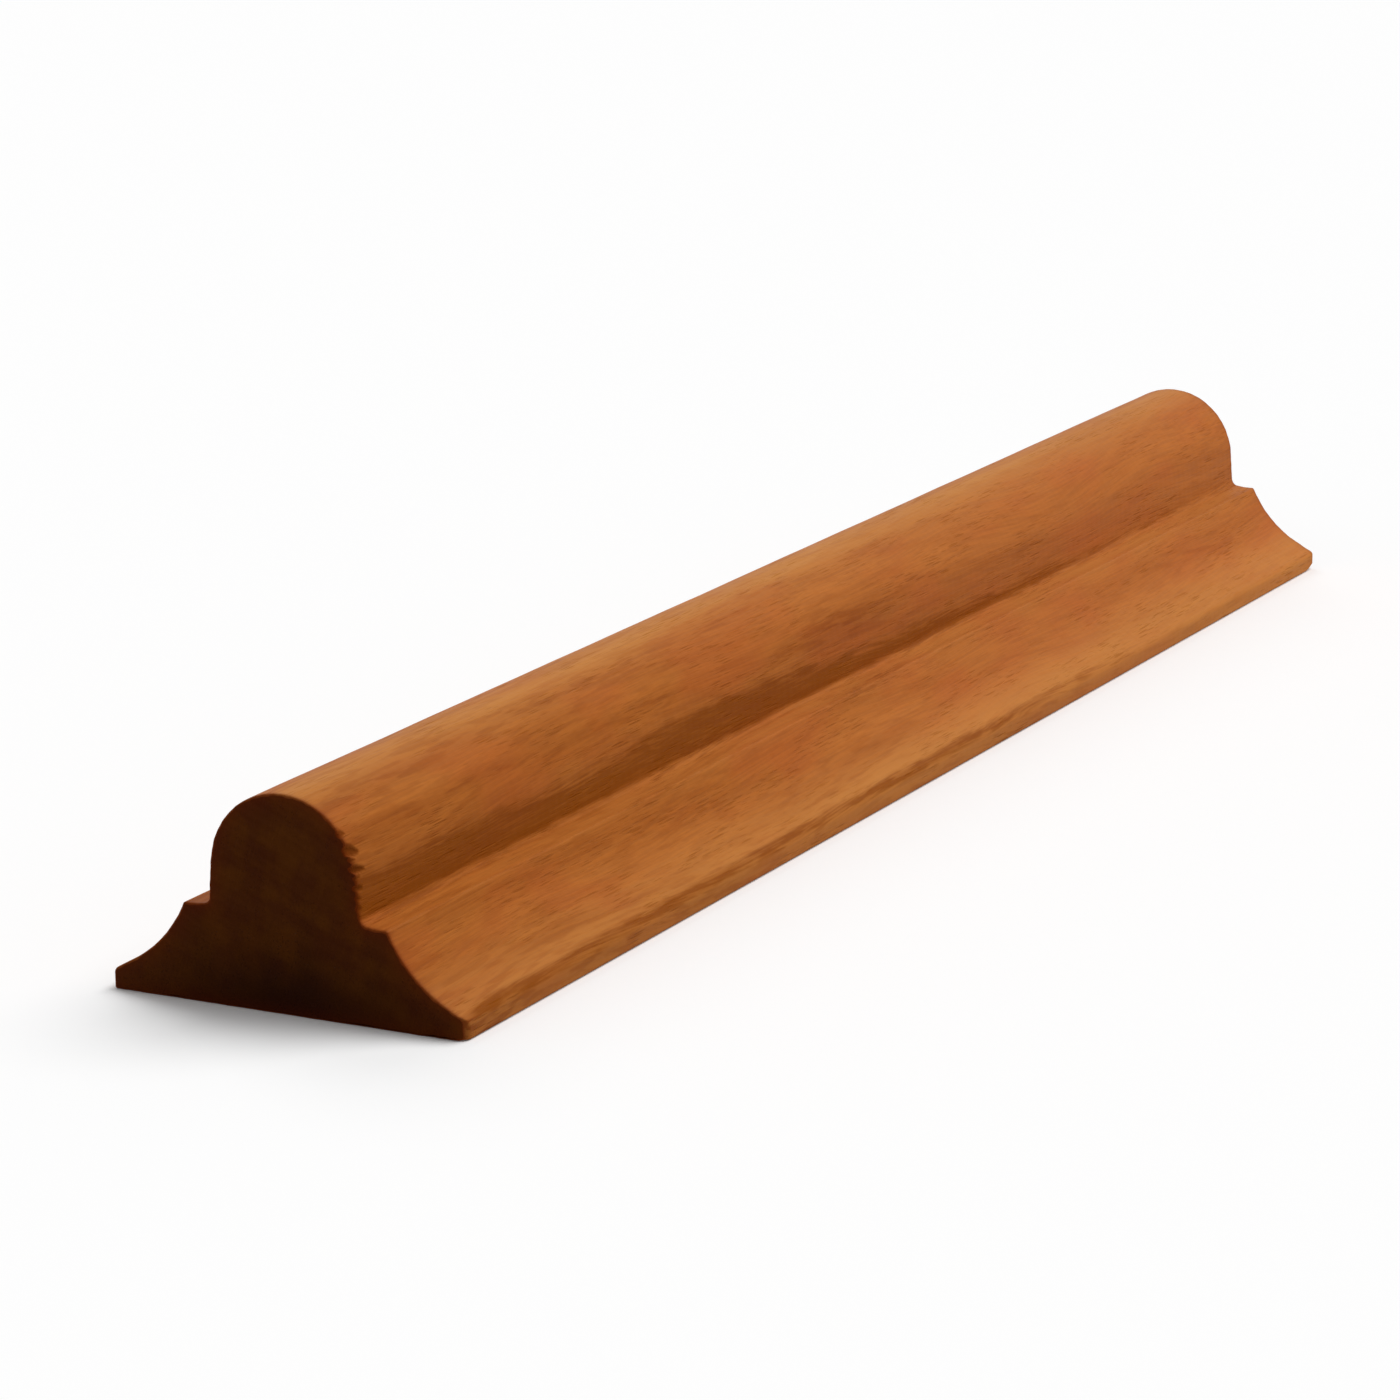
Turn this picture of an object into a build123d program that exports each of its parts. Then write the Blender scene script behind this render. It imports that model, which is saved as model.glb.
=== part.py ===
from build123d import *
import os
from math import cos, radians, sin, tan

# Astragal moulding: one machined hardwood bar with a flat back, glued or pinned over the joint between two
# doors or panels. Its face has a half-round bead on a short neck. On each side of that there is a narrow
# ledge, a cove and a straight skirt that runs out to a thin square edge. Both ends are sawn square.
# X runs along the bar, Y across it and Z up from the flat back. The origin is the middle of the back.

# Length and width of the bar, in millimetres as every size here. Its height adds up from the sizes below.
BAR_LENGTH = 210.0
BAR_WIDTH = 38.0

# Thin square edge, and the straight skirt that rises from it to the foot of the cove
EDGE_HEIGHT = 1.95
SKIRT_WIDTH = 2.5
SKIRT_RISE = 1.4

# Cove from the skirt up to the outer corner of the ledge
COVE_RADIUS = 13.3

# Ledge at the foot of the neck, which falls towards its outer corner and is slightly hollow
LEDGE_HEIGHT = 9.5  # of the outer corner
LEDGE_WIDTH = 2.8
LEDGE_FALL = 0.25
LEDGE_HOLLOW = 0.1  # of the ledge's middle below the straight line between its corners

# Neck and bead
NECK_HEIGHT = 4.0  # of the straight side, from the ledge to where the bead starts
NECK_DRAFT = 4.0  # degrees that the side leans out towards its foot
BEAD_RADIUS = 7.9

# Radii that the cutters and a light sanding leave at the corners of the section
ROOT_RADIUS = 0.75
LEDGE_ARRIS = 0.35
SKIRT_ARRIS = 0.9
BACK_ARRIS = 0.3

# Two points of the section nearer than this are one corner
SAME_POINT = 0.001


def section_points():
    """The points (across, up) of the section's right side, from the back to the crown, before rounding.

    The neck runs into the bead without a corner, so the bead's centre lies square to the neck's side.
    """
    half_width = BAR_WIDTH / 2
    draft = radians(NECK_DRAFT)
    neck_across = BEAD_RADIUS * cos(draft)
    root_across = neck_across + NECK_HEIGHT * tan(draft)
    root_height = LEDGE_HEIGHT + LEDGE_FALL
    ledge_across = root_across + LEDGE_WIDTH
    ledge_middle_height = (LEDGE_HEIGHT + root_height) / 2 - LEDGE_HOLLOW
    neck_height = root_height + NECK_HEIGHT
    bead_centre_height = neck_height - BEAD_RADIUS * sin(draft)
    return {
        "back": (half_width, 0),
        "edge": (half_width, EDGE_HEIGHT),
        "skirt": (half_width - SKIRT_WIDTH, EDGE_HEIGHT + SKIRT_RISE),
        "ledge": (ledge_across, LEDGE_HEIGHT),
        "ledge_middle": ((ledge_across + root_across) / 2, ledge_middle_height),
        "root": (root_across, root_height),
        "neck": (neck_across, neck_height),
        "crown": (0, bead_centre_height + BEAD_RADIUS),
    }


def round_corners(section, corner, radius):
    """Round the section's left and right vertices at one corner (across, up)."""
    pair = [
        vertex
        for vertex in section.vertices()
        if abs(abs(vertex.X) - corner[0]) < SAME_POINT and abs(vertex.Y - corner[1]) < SAME_POINT
    ]
    fillet(pair, radius)


def moulding_section():
    """Draw the cross-section at one end: right side, its mirror image, the bead over both, flat back."""
    point = section_points()
    with BuildSketch(Plane.YZ.offset(-BAR_LENGTH / 2)) as section:
        with BuildLine():
            Line(point["back"], point["edge"])
            Line(point["edge"], point["skirt"])
            RadiusArc(point["skirt"], point["ledge"], COVE_RADIUS)
            ThreePointArc(point["ledge"], point["ledge_middle"], point["root"])
            Line(point["root"], point["neck"])
            mirror(about=Plane.YZ)
            ThreePointArc(point["neck"], point["crown"], (-point["neck"][0], point["neck"][1]))
            Line((-point["back"][0], 0), point["back"])
        make_face()
        round_corners(section, point["root"], ROOT_RADIUS)
        round_corners(section, point["ledge"], LEDGE_ARRIS)
        round_corners(section, point["edge"], SKIRT_ARRIS)
        round_corners(section, point["back"], BACK_ARRIS)
    return section


def moulding():
    """Run the cross-section along the bar, from one sawn end to the other."""
    return extrude(moulding_section().sketch, amount=BAR_LENGTH)


os.makedirs("parts", exist_ok=True)
export_step(moulding(), "parts/astragal_moulding.step")
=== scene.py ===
import math
from collections import namedtuple

import bpy
import numpy as np
from bpy.props import FloatProperty, FloatVectorProperty, IntProperty, PointerProperty
from mathutils import Matrix, Vector


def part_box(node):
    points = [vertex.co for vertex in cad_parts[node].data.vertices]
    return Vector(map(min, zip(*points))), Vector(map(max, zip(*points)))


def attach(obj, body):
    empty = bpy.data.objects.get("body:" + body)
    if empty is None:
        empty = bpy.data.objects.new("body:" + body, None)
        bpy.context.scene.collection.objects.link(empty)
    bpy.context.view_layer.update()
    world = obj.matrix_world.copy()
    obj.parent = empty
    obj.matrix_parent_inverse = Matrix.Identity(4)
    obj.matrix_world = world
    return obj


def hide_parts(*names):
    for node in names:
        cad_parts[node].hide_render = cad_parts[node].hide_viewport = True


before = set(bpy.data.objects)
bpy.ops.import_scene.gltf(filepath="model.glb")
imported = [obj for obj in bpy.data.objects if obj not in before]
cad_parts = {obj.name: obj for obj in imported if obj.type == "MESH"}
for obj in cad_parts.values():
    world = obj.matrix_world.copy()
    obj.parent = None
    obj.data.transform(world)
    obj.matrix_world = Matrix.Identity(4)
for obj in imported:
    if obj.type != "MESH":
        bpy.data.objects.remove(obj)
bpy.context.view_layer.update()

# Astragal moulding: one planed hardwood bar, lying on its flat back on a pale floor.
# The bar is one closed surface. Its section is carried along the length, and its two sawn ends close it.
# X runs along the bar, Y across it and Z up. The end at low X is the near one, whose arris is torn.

bl_info = {
    "name": "Astragal moulding",
    "version": (1, 0, 0),
    "blender": (4, 5, 0),
    "location": "3D View > Sidebar > Moulding",
    "description": "Makes a planed hardwood astragal moulding and a pale stage to look at it on",
    "category": "Object",
}

MM = 0.001
BAR_NODE = "astragal_moulding"
BAR_BODY = "root"

bar_low, bar_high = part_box(BAR_NODE)


# Sizes and colours that a user would change

def number(name, description, default, **limits):
    """A number that a user may change."""
    return FloatProperty(name=name, description=description, default=default, **limits)


def length(name, description, millimetres):
    """A length whose default is given in millimetres and kept in metres."""
    return number(name, description, millimetres * MM, min=0.0, precision=5, unit="LENGTH")


def angle(name, description, degrees):
    """An angle whose default is given in degrees."""
    return number(name, description, math.radians(degrees), precision=4, unit="ROTATION")


def share(name, description, value):
    """A number from nought to one."""
    return number(name, description, value, min=0.0, max=1.0, subtype="FACTOR")


def colour(name, description, value):
    """A linear red, green and blue."""
    return FloatVectorProperty(
        name=name, description=description, default=value,
        size=3, min=0.0, max=1.0, precision=4, subtype="COLOR",
    )


class SectionSizes(bpy.types.PropertyGroup):
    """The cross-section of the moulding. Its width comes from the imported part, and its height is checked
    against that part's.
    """

    edge_height: length("Edge height", "Height of the thin square edge", 1.95)
    skirt_width: length("Skirt width", "Width of the straight slope above the edge", 2.5)
    skirt_rise: length("Skirt rise", "Rise of that slope", 1.4)
    cove_radius: length("Cove radius", "Radius of the hollow between skirt and ledge", 13.3)
    ledge_height: length("Ledge height", "Height of the ledge's outer corner", 9.5)
    ledge_width: length("Ledge width", "Width of the ledge beside the neck", 2.8)
    ledge_fall: length("Ledge fall", "How far the ledge falls towards its outer corner", 0.25)
    ledge_hollow: length("Ledge hollow", "How far the ledge's middle lies below its chord", 0.1)
    neck_height: length("Neck height", "Height of the straight side of the neck", 4.0)
    neck_draft: angle("Neck draft", "Lean of the neck's side, out towards its foot", 4.0)
    bead_radius: length("Bead radius", "Radius of the half-round bead", 7.9)
    root_radius: length("Root radius", "Radius in the corner between neck and ledge", 0.75)
    ledge_arris: length("Ledge arris", "Radius on the ledge's outer corner", 0.35)
    skirt_arris: length("Skirt arris", "Radius on the corner above the thin edge", 0.9)
    back_arris: length("Back arris", "Radius on the corners of the flat back", 0.3)


class EndWear(bpy.types.PropertyGroup):
    """How the sawn ends were left by the saw and by handling."""

    arris: length("End arris", "Radius that handling has left round each sawn end", 0.2)
    arris_change: share("Arris change", "How unevenly that radius runs round the end", 0.55)
    bruised_corner: length("Bruised corner", "Radius knocked on the near end's corner at low Y", 1.25)
    corner: length("Other corners", "Radius knocked on the other three corners", 0.35)
    near_lift: length("Near lift", "How far the back is blunted at the near end's corner at low Y", 0.3)
    far_lift: length("Far lift", "How far the back is blunted at the far end's corner at low Y", 0.55)
    tear: share("Tear", "Depth of the torn fibres at the near end, from none to all", 1.0)
    hand_wave: length("Hand wave", "Depth of the faint waves that sanding by hand leaves", 0.05)
    seed: IntProperty(name="Seed", description="Changes where the uneven places fall", default=7, min=0)


class TimberColours(bpy.types.PropertyGroup):
    """Colours of the oiled timber, as linear values."""

    pale: colour("Pale grain", "The lighter ribbons of the planed faces", (0.485, 0.155, 0.0315))
    deep: colour("Deep grain", "The darker ribbons of the planed faces", (0.305, 0.078, 0.0115))
    red: colour("Red grain", "The redder patches of the planed faces", (0.42, 0.099, 0.022))
    pore: colour("Pores", "The dark lines of the open pores", (0.14, 0.032, 0.002))
    # Paler by rubbing, and painted highlight and painted light: the colour of the crown, skirt, ledge and
    # thin edge
    rubbed_and_highlit: colour("Rubbed", "High places that handling and light have made paler", (0.53, 0.212, 0.048))
    streak: colour("Streaks", "Darker streaks that run along the grain", (0.19, 0.035, 0.003))
    # Painted shade with some grime: the colour of the quirk under the bead and of the darker line above the
    # thin edge
    shade_and_grime: colour("Grime", "Old finish gathered in the corners", (0.245, 0.060, 0.0012))
    torn: colour("Torn fibres", "The broken fibres at the near end", (0.20, 0.045, 0.004))
    end_pale: colour("End grain, pale", "The lighter bands of the sawn ends", (0.110, 0.030, 0.0026))
    end_deep: colour("End grain, deep", "The darker bands of the sawn ends", (0.062, 0.0115, 0.0010))
    # Painted shade: the colour low in the middle of the sawn ends
    end_shade_low: colour("End grain, soaked", "The sawn ends where damp has risen", (0.004, 0.001, 0.0002))
    end_rim: colour("End rim", "The ends' arrises, where finish has soaked in", (0.15, 0.018, 0.002))


class StageSettings(bpy.types.PropertyGroup):
    """Floor, lamps and camera."""

    floor: colour("Floor", "The pale floor", (0.98, 0.98, 0.98))
    floor_lift: share("Floor lift", "How much the floor is brightened to white where it is seen", 0.055)
    floor_bounce: share("Floor bounce", "Share of the light that the floor throws back on the bar", 0.58)
    room_light: share("Room light", "How bright the room is where it only lights the bar", 0.25)
    floor_radius: length("Floor radius", "Radius of the round floor", 6000.0)
    key: number("Key lamp", "Strength of the lamp above", 2.2, min=0.0)
    rim: number("Rim lamp", "Strength of the lamp behind", 0.5, min=0.0)
    side: number("Side lamp", "Power of the panel beside the far end", 0.42, min=0.0)
    lens: number("Lens", "Focal length in millimetres", 136.81, min=1.0)
    camera_place: FloatVectorProperty(
        name="Camera",
        description="Where the camera stands",
        default=(-0.50024, -0.25146, 0.14962),
        precision=5,
        subtype="TRANSLATION",
        unit="LENGTH",
    )
    camera_heading: angle("Heading", "Way the camera looks, from along the bar to its far side", 27.773)
    camera_drop: angle("Drop", "How far the camera looks down", 14.429)
    camera_roll: angle("Roll", "How far the camera leans", -0.651)


# Outline of the section, as points (across, up)

CORNER_STEP = 0.2  # of the corner's radius, between the points of its arc
BEYOND_ARC = 1.02  # of the arc's reach from the corner, past which the path's own points are kept
FINE_STEP = 0.17 * MM  # between points on the bead and neck
PLAIN_STEP = 0.35 * MM  # between points on the rest of the face
HEEL = 1.0 * MM  # how far in on the back the drawing of a side starts
BACK_COLUMNS = 44  # of the flat back


def arc_between(start, end, radius, step):
    """Points of a circle from start to end, both included.

    A positive radius puts the circle's centre to the left of the way from start to end, and a negative one
    to the right. The centre lies off the middle of the chord by the root of radius squared less half the
    chord squared, and the points are evenly spaced by angle, about one step apart.
    """
    chord = end - start
    span = np.hypot(*chord)
    to_left = np.array([-chord[1], chord[0]]) / span
    offset = math.copysign(math.sqrt(max(radius**2 - (span / 2) ** 2, 0.0)), radius)
    centre = (start + end) / 2 + to_left * offset
    first = math.atan2(*(start - centre)[::-1])
    last = math.atan2(*(end - centre)[::-1])
    sweep = (last - first + math.pi) % (2 * math.pi) - math.pi
    count = max(1, math.ceil(abs(sweep * radius) / step))
    angles = first + sweep * np.linspace(0.0, 1.0, count + 1)
    return centre + abs(radius) * np.stack([np.cos(angles), np.sin(angles)], axis=1)


def line_between(start, end, step):
    """Evenly spaced points of a straight line from start to end, both included, about one step apart."""
    count = max(1, math.ceil(np.hypot(*(end - start)) / step))
    return start + np.linspace(0.0, 1.0, count + 1)[:, None] * (end - start)


def arc_radius(chord, rise):
    """Radius of an arc whose middle lies by rise off its chord."""
    return (chord**2 / 4 + rise**2) / (2 * rise)


def round_corner(path, corner, radius):
    """The path with one of its corners rounded by an arc that touches both of its sides.

    The arc starts and ends at radius over the tangent of half the corner's angle from the corner, and the
    path's own points nearer than that are dropped.
    """
    at = int(np.argmin(np.hypot(*(path - corner).T)))
    here = path[at]
    back = path[at - 1] - here
    onward = path[at + 1] - here
    back /= np.hypot(*back)
    onward /= np.hypot(*onward)
    half_angle = math.acos(float(back @ onward)) / 2
    reach = radius / math.tan(half_angle)
    turns_left = back[0] * onward[1] - back[1] * onward[0] < 0
    signed_radius = radius if turns_left else -radius
    bend = arc_between(here + back * reach, here + onward * reach, signed_radius, radius * CORNER_STEP)
    far_enough = np.hypot(*(path - here).T) > reach * BEYOND_ARC
    before = path[:at][far_enough[:at]]
    after = path[at + 1:][far_enough[at + 1:]]
    return np.concatenate([before, bend, after])


def section_corners(size, half_width):
    """The section's named points on its right side, worked out as the part's own source does."""
    neck_across = size.bead_radius * math.cos(size.neck_draft)
    root_across = neck_across + size.neck_height * math.tan(size.neck_draft)
    root_height = size.ledge_height + size.ledge_fall
    neck_top = root_height + size.neck_height
    crown_height = neck_top + size.bead_radius * (1 - math.sin(size.neck_draft))
    places = {
        "heel": (half_width - HEEL, 0.0),
        "back": (half_width, 0.0),
        "edge": (half_width, size.edge_height),
        "skirt": (half_width - size.skirt_width, size.edge_height + size.skirt_rise),
        "ledge": (root_across + size.ledge_width, size.ledge_height),
        "root": (root_across, root_height),
        "neck": (neck_across, neck_top),
        "crown": (0.0, crown_height),
    }
    return {name: np.array(place) for name, place in places.items()}


def right_side(size, corners):
    """The section's right side from the edge of the flat back up to the crown, with its corners rounded."""
    ledge_radius = arc_radius(math.dist(corners["ledge"], corners["root"]), size.ledge_hollow)
    stretches = [
        line_between(corners["heel"], corners["back"], HEEL),
        line_between(corners["back"], corners["edge"], PLAIN_STEP),
        line_between(corners["edge"], corners["skirt"], PLAIN_STEP),
        arc_between(corners["skirt"], corners["ledge"], -size.cove_radius, PLAIN_STEP),
        arc_between(corners["ledge"], corners["root"], -ledge_radius, PLAIN_STEP),
        line_between(corners["root"], corners["neck"], FINE_STEP),
        arc_between(corners["neck"], corners["crown"], size.bead_radius, FINE_STEP),
    ]
    path = np.concatenate([stretches[0]] + [stretch[1:] for stretch in stretches[1:]])
    path = round_corner(path, corners["back"], size.back_arris)
    path = round_corner(path, corners["edge"], size.skirt_arris)
    path = round_corner(path, corners["ledge"], size.ledge_arris)
    path = round_corner(path, corners["root"], size.root_radius)
    return path[1:]


def closed_ring(side):
    """The whole section anticlockwise: right side, its mirror image from the crown down, and the back."""
    left = side[-2::-1] * (-1.0, 1.0)
    back = left[-1] + across_share()[1:-1, None] * (side[0] - left[-1])
    return np.concatenate([side, left, back])


def across_share():
    """Shares of the way across a flat: half of one less a cosine, so that they lie closer at the sides."""
    return (1 - np.cos(np.linspace(0.0, math.pi, BACK_COLUMNS + 1))) / 2


def outward(ring):
    """Unit normals out of the wood: the mean way of the two edges beside each point, turned right."""
    edges = np.roll(ring, -1, axis=0) - ring
    edges /= np.hypot(*edges.T)[:, None]
    way = edges + np.roll(edges, 1, axis=0)
    way /= np.hypot(*way.T)[:, None]
    return np.stack([way[:, 1], -way[:, 0]], axis=1)


def bell(*shares):
    """One at nought, falling by a bell curve: the exponential of less the sum of the squares."""
    return np.exp(-sum(each**2 for each in shares))


def nearness(ring, corner, reach):
    """A bell curve, as wide as the reach, about a corner and its mirror image."""
    return bell((np.abs(ring[:, 0]) - corner[0]) / reach, (ring[:, 1] - corner[1]) / reach)


# Wear of the surface, and painted light and shade

def smooth_step(value):
    """Nought below nought, one above one, and three squares less two cubes between."""
    held = np.clip(value, 0.0, 1.0)
    return held * held * (3 - 2 * held)


def uneven(place, wavelengths, seed):
    """A smooth uneven line between minus one and one: the mean of cosines with seeded starting points."""
    starts = np.random.default_rng(seed).uniform(0.0, 2 * math.pi, len(wavelengths))
    waves = [np.cos(2 * math.pi * place / wave + start) for wave, start in zip(wavelengths, starts)]
    return sum(waves) / len(waves)


# Torn places in the near end's right arris, in millimetres: height of the middle, half the height, run
# along the bar, depth, and how far the middle has sunk at the far tip. The last number says how blunt that
# tip is, from one for a plain wedge.
TEARS = np.array((
    (18.10, 0.38, 0.9, 0.20, 0.10, 2.0),
    (16.60, 0.62, 1.6, 0.52, 0.35, 3.5),
    (15.75, 0.26, 0.6, 0.24, 0.05, 2.0),
    (14.90, 0.46, 1.8, 0.50, 0.30, 2.6),
    (14.05, 0.20, 0.9, 0.25, 0.00, 1.3),
    (13.10, 0.30, 1.2, 0.34, 0.10, 2.0),
    (12.10, 0.24, 0.7, 0.22, 0.00, 1.5),
    (11.15, 0.34, 0.6, 0.16, 0.00, 2.5),
)) * (MM, MM, MM, MM, MM, 1)
TEAR_EDGE = 0.5  # share of a tear's half height over which its side slopes
TEAR_FULLNESS = 1.4  # power by which its depth goes with the share of its run that is gone
RAGGED_WAVES = (0.71 * MM, 0.43 * MM, 0.29 * MM)
RAGGED_DEPTH = 0.22  # of a tear's half height
LEAST_HEIGHT = 1e-9  # that keeps a tear's tip from dividing by nought


def tear_depth(from_end, across, up):
    """How deep the torn places are under each point, and how torn it is from nought to one.

    Each tear runs along the fibres from the sawn end to a tip. Its half height goes with one less the gone
    share of the run to the power of its bluntness, made ragged by short waves, and its depth with one less
    that share to the power of the fullness. Where tears overlap the deepest counts.
    """
    depth = np.zeros(np.broadcast(from_end, up).shape)
    torn = np.zeros_like(depth)
    for seed, (middle, half_height, run, deepest, droop, bluntness) in enumerate(TEARS):
        gone = np.clip(from_end / run, 0.0, 1.0)
        ragged = 1 + RAGGED_DEPTH * uneven(from_end + up, RAGGED_WAVES, seed)
        reach = half_height * (1 - gone**bluntness) * ragged + LEAST_HEIGHT
        off_middle = np.abs(up - (middle - droop * gone))
        inside = smooth_step((1 - off_middle / reach) / TEAR_EDGE) * (gone < 1) * (across < 0)
        depth = np.maximum(depth, deepest * (1 - gone**TEAR_FULLNESS) * inside)
        torn = np.maximum(torn, inside)
    return depth, torn


# Limits of the painted shade, with some grime, in the quirk on the neck's side: places along the bar from
# the near end, and the heights above the ledge's root there of the upper limit and of the lower one, under
# which a share is left
QUIRK_SHADE_PLACES = np.array((0, 23, 38, 53, 70, 80, 92, 104, 120, 135, 165, 210)) * MM
QUIRK_SHADE_HEIGHTS = np.array((4.5, 4.3, 3.5, 4.0, 4.6, 4.2, 3.3, 2.6, 2.0, 1.6, 0.6, 0.1)) * MM
QUIRK_SHADE_FEET = np.array((0.45, 0.50, 0.50, 0.45, 0.35, 0.30, 0.25, 0.20, 0.10, 0.10, 0.05, -0.1)) * MM
QUIRK_SHADE_UNEVEN = 0.4 * MM  # of the upper limit
UNEVEN_ABOVE = 0.5 * MM  # height of that limit from which it starts to be uneven
QUIRK_SHADE_SLOPE = 2.0 * MM  # up the neck, over which it thins out at the upper limit
FOOT_SLOPE = 0.5 * MM  # over which it starts at the lower one
FOOT_LEFT = 0.48  # share of it that is left under the lower limit
QUIRK_SHADE_SPILL = 0.9 * MM  # out over the ledge
QUIRK_SHADE_WAVES = (31 * MM, 17 * MM, 9 * MM, 5 * MM)
QUIRK_SHADE_SEED = 3
LINE_IN = 0.50 * MM  # from the thin edge's corner in to the darker line beside it
LINE_UP = 0.28 * MM
LINE_WIDTH = 0.72 * MM
LINE_DEPTH = 1.12  # before it is held to one
LINE_UNEVEN = 0.2
LINE_WAVES = (83 * MM, 47 * MM, 19 * MM, 7 * MM)
LINE_SEED = 5
LINE_START = 100 * MM  # from the near end, where the line starts to fade
LINE_END = 195 * MM
LINE_GROWTH = 4 * MM  # from the near end, over which it grows to its full depth


def quirk_shade_and_grime(run, ring, corners):
    """How much painted shade and grime each point has, from nought to one.

    Painted shade, with some grime, covers the neck's side in the quirk under the bead between two limits
    drawn through set heights. The upper one is made uneven by short waves, and the shade thins out evenly
    there. Under the lower one a share is left, which goes out over the ledge by a bell curve. A darker line
    follows the arris above the thin edge.
    """
    across = np.abs(ring[:, 0])
    up = ring[:, 1] - corners["root"][1]
    limit = np.interp(run, QUIRK_SHADE_PLACES, QUIRK_SHADE_HEIGHTS)
    steady = smooth_step((limit - UNEVEN_ABOVE) / MM)
    limit = limit + QUIRK_SHADE_UNEVEN * uneven(run, QUIRK_SHADE_WAVES, QUIRK_SHADE_SEED) * steady
    foot = np.interp(run, QUIRK_SHADE_PLACES, QUIRK_SHADE_FEET)
    on_neck = np.clip((limit - up) / QUIRK_SHADE_SLOPE + 0.5, 0.0, 1.0) * (up > -corners["root"][1] / 2)
    on_neck = on_neck * (FOOT_LEFT + (1 - FOOT_LEFT) * smooth_step((up - foot) / FOOT_SLOPE + 0.5))
    beside = bell(np.maximum(across - corners["root"][0], 0.0) / QUIRK_SHADE_SPILL)
    line = nearness(ring, corners["edge"] + (-LINE_IN, LINE_UP), LINE_WIDTH)
    line = line * (1 - LINE_UNEVEN + LINE_UNEVEN * uneven(run, LINE_WAVES, LINE_SEED))
    line = line * smooth_step((LINE_END - run) / (LINE_END - LINE_START)) * smooth_step(run / LINE_GROWTH)
    return np.maximum(on_neck * beside, np.minimum(LINE_DEPTH * line, 1.0))


# Darker streaks in the timber of the side at low Y, in millimetres: place along the bar from the near end,
# place round the section from the crown, half the length and half the width. The last number is the
# strength, from nought to one.
STREAKS = np.array((
    (38, 3.9, 50, 1.2, 0.20),
    (22, 4.1, 24, 0.6, 0.18),
    (74, 4.1, 13, 0.6, 0.20),
    (28, 8.1, 20, 0.5, 0.24),
    (64, 8.5, 14, 0.5, 0.22),
    (100, 10.2, 9, 1.9, 0.42),
    (101, 18.1, 10, 1.0, 0.42),
    (148, 10.7, 5, 1.1, 0.24),
    (188, 22.4, 16, 1.4, 0.20),
)) * (MM, MM, MM, MM, 1)
# Places along the bar from the near end, and the shares there by which the thin edge is darkened, the thin
# edge is made paler, and the ledge is made paler, both by rubbing and by painted light that grows towards
# the far end
EDGE_PLACES = np.array((0, 15, 60, 90, 120, 150, 180)) * MM
EDGE_DARKNESS = (0.18, 0.12, 0.12, 0.12, 0.18, 0.05, 0.0)
EDGE_SHARES = (0.0, 0.1, 0.18, 0.1, 0.0, 0.35, 0.75)
LEDGE_SHARES = (0.0, 0.0, 0.3, 0.3, 0.3, 0.35, 0.55)
NEAR_END_DARK_REACH = 12 * MM  # from the near end, over which the faces grow darker towards that end
NEAR_END_DARK = 0.13
NEAR_END_DARK_EDGE = 0.39  # on the thin edge


def dark_streaks(run, from_crown, on_edge):
    """How dark each point's streak is: a bell curve along the bar times one round the section.

    Where streaks overlap the darkest counts. A darkening towards the near end is added, which fades away
    from that end by an exponential and is deeper on the thin edge. That edge has a darkness of its own as
    well.
    """
    dark = np.zeros(np.broadcast(run, from_crown).shape)
    for along, around, half_run, half_width, strength in STREAKS:
        streak = bell((run - along) / half_run, (from_crown - around) / half_width)
        dark = np.maximum(dark, strength * streak)
    near_end_dark = np.where(on_edge, NEAR_END_DARK_EDGE, NEAR_END_DARK) * np.exp(-run / NEAR_END_DARK_REACH)
    return dark + near_end_dark + np.interp(run, EDGE_PLACES, EDGE_DARKNESS) * on_edge


# Reaches round the section of the places made paler by rubbing and by painted highlight
CROWN_RUBBED_AND_HIGHLIT = 3.3 * MM  # round the section from the crown
SKIRT_RUBBED_AND_HIGHLIT = 3.1 * MM
SKIRT_SHARE = 0.72
LEDGE_RUBBED_AND_HIGHLIT = 1.6 * MM


def rubbed_and_highlit_places(run, ring, corners):
    """How much each point is made paler by rubbing and by painted highlight: bells round the crown, the
    skirt and the ledge.

    The ledge and the thin edge are made paler by shares drawn through set places along the bar, which grow
    towards the far end as painted light.
    """
    crown = nearness(ring, corners["crown"], CROWN_RUBBED_AND_HIGHLIT)
    skirt = nearness(ring, (corners["skirt"] + corners["edge"]) / 2, SKIRT_RUBBED_AND_HIGHLIT)
    edge = np.interp(run, EDGE_PLACES, EDGE_SHARES) * (ring[:, 1] < corners["edge"][1])
    ledge = nearness(ring, (corners["ledge"] + corners["root"]) / 2, LEDGE_RUBBED_AND_HIGHLIT)
    ledge = ledge * np.interp(run, EDGE_PLACES, LEDGE_SHARES)
    return np.maximum(np.maximum(crown, SKIRT_SHARE * skirt), np.maximum(edge, ledge))


def knock_corner(points, radius, end, side):
    """Round one upright corner of the bar in place, where an end meets a long side.

    The corner's centre lies the radius in from both. A point that is past it both ways and farther from it
    than the radius is drawn in, on its own straight line to the centre, to the radius.
    """
    centre = np.array([end - math.copysign(radius, end), side - math.copysign(radius, side)])
    outwards = np.sign([end, side])
    offset = points[:, :2] - centre
    distance = np.hypot(*offset.T)
    outside = (offset * outwards > 0).all(axis=1) & (distance > radius)
    points[outside, :2] = centre + offset[outside] * (radius / distance[outside])[:, None]


LIFT_TOP = 2.4 * MM  # above the back, up to which a blunted corner is lifted


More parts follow.
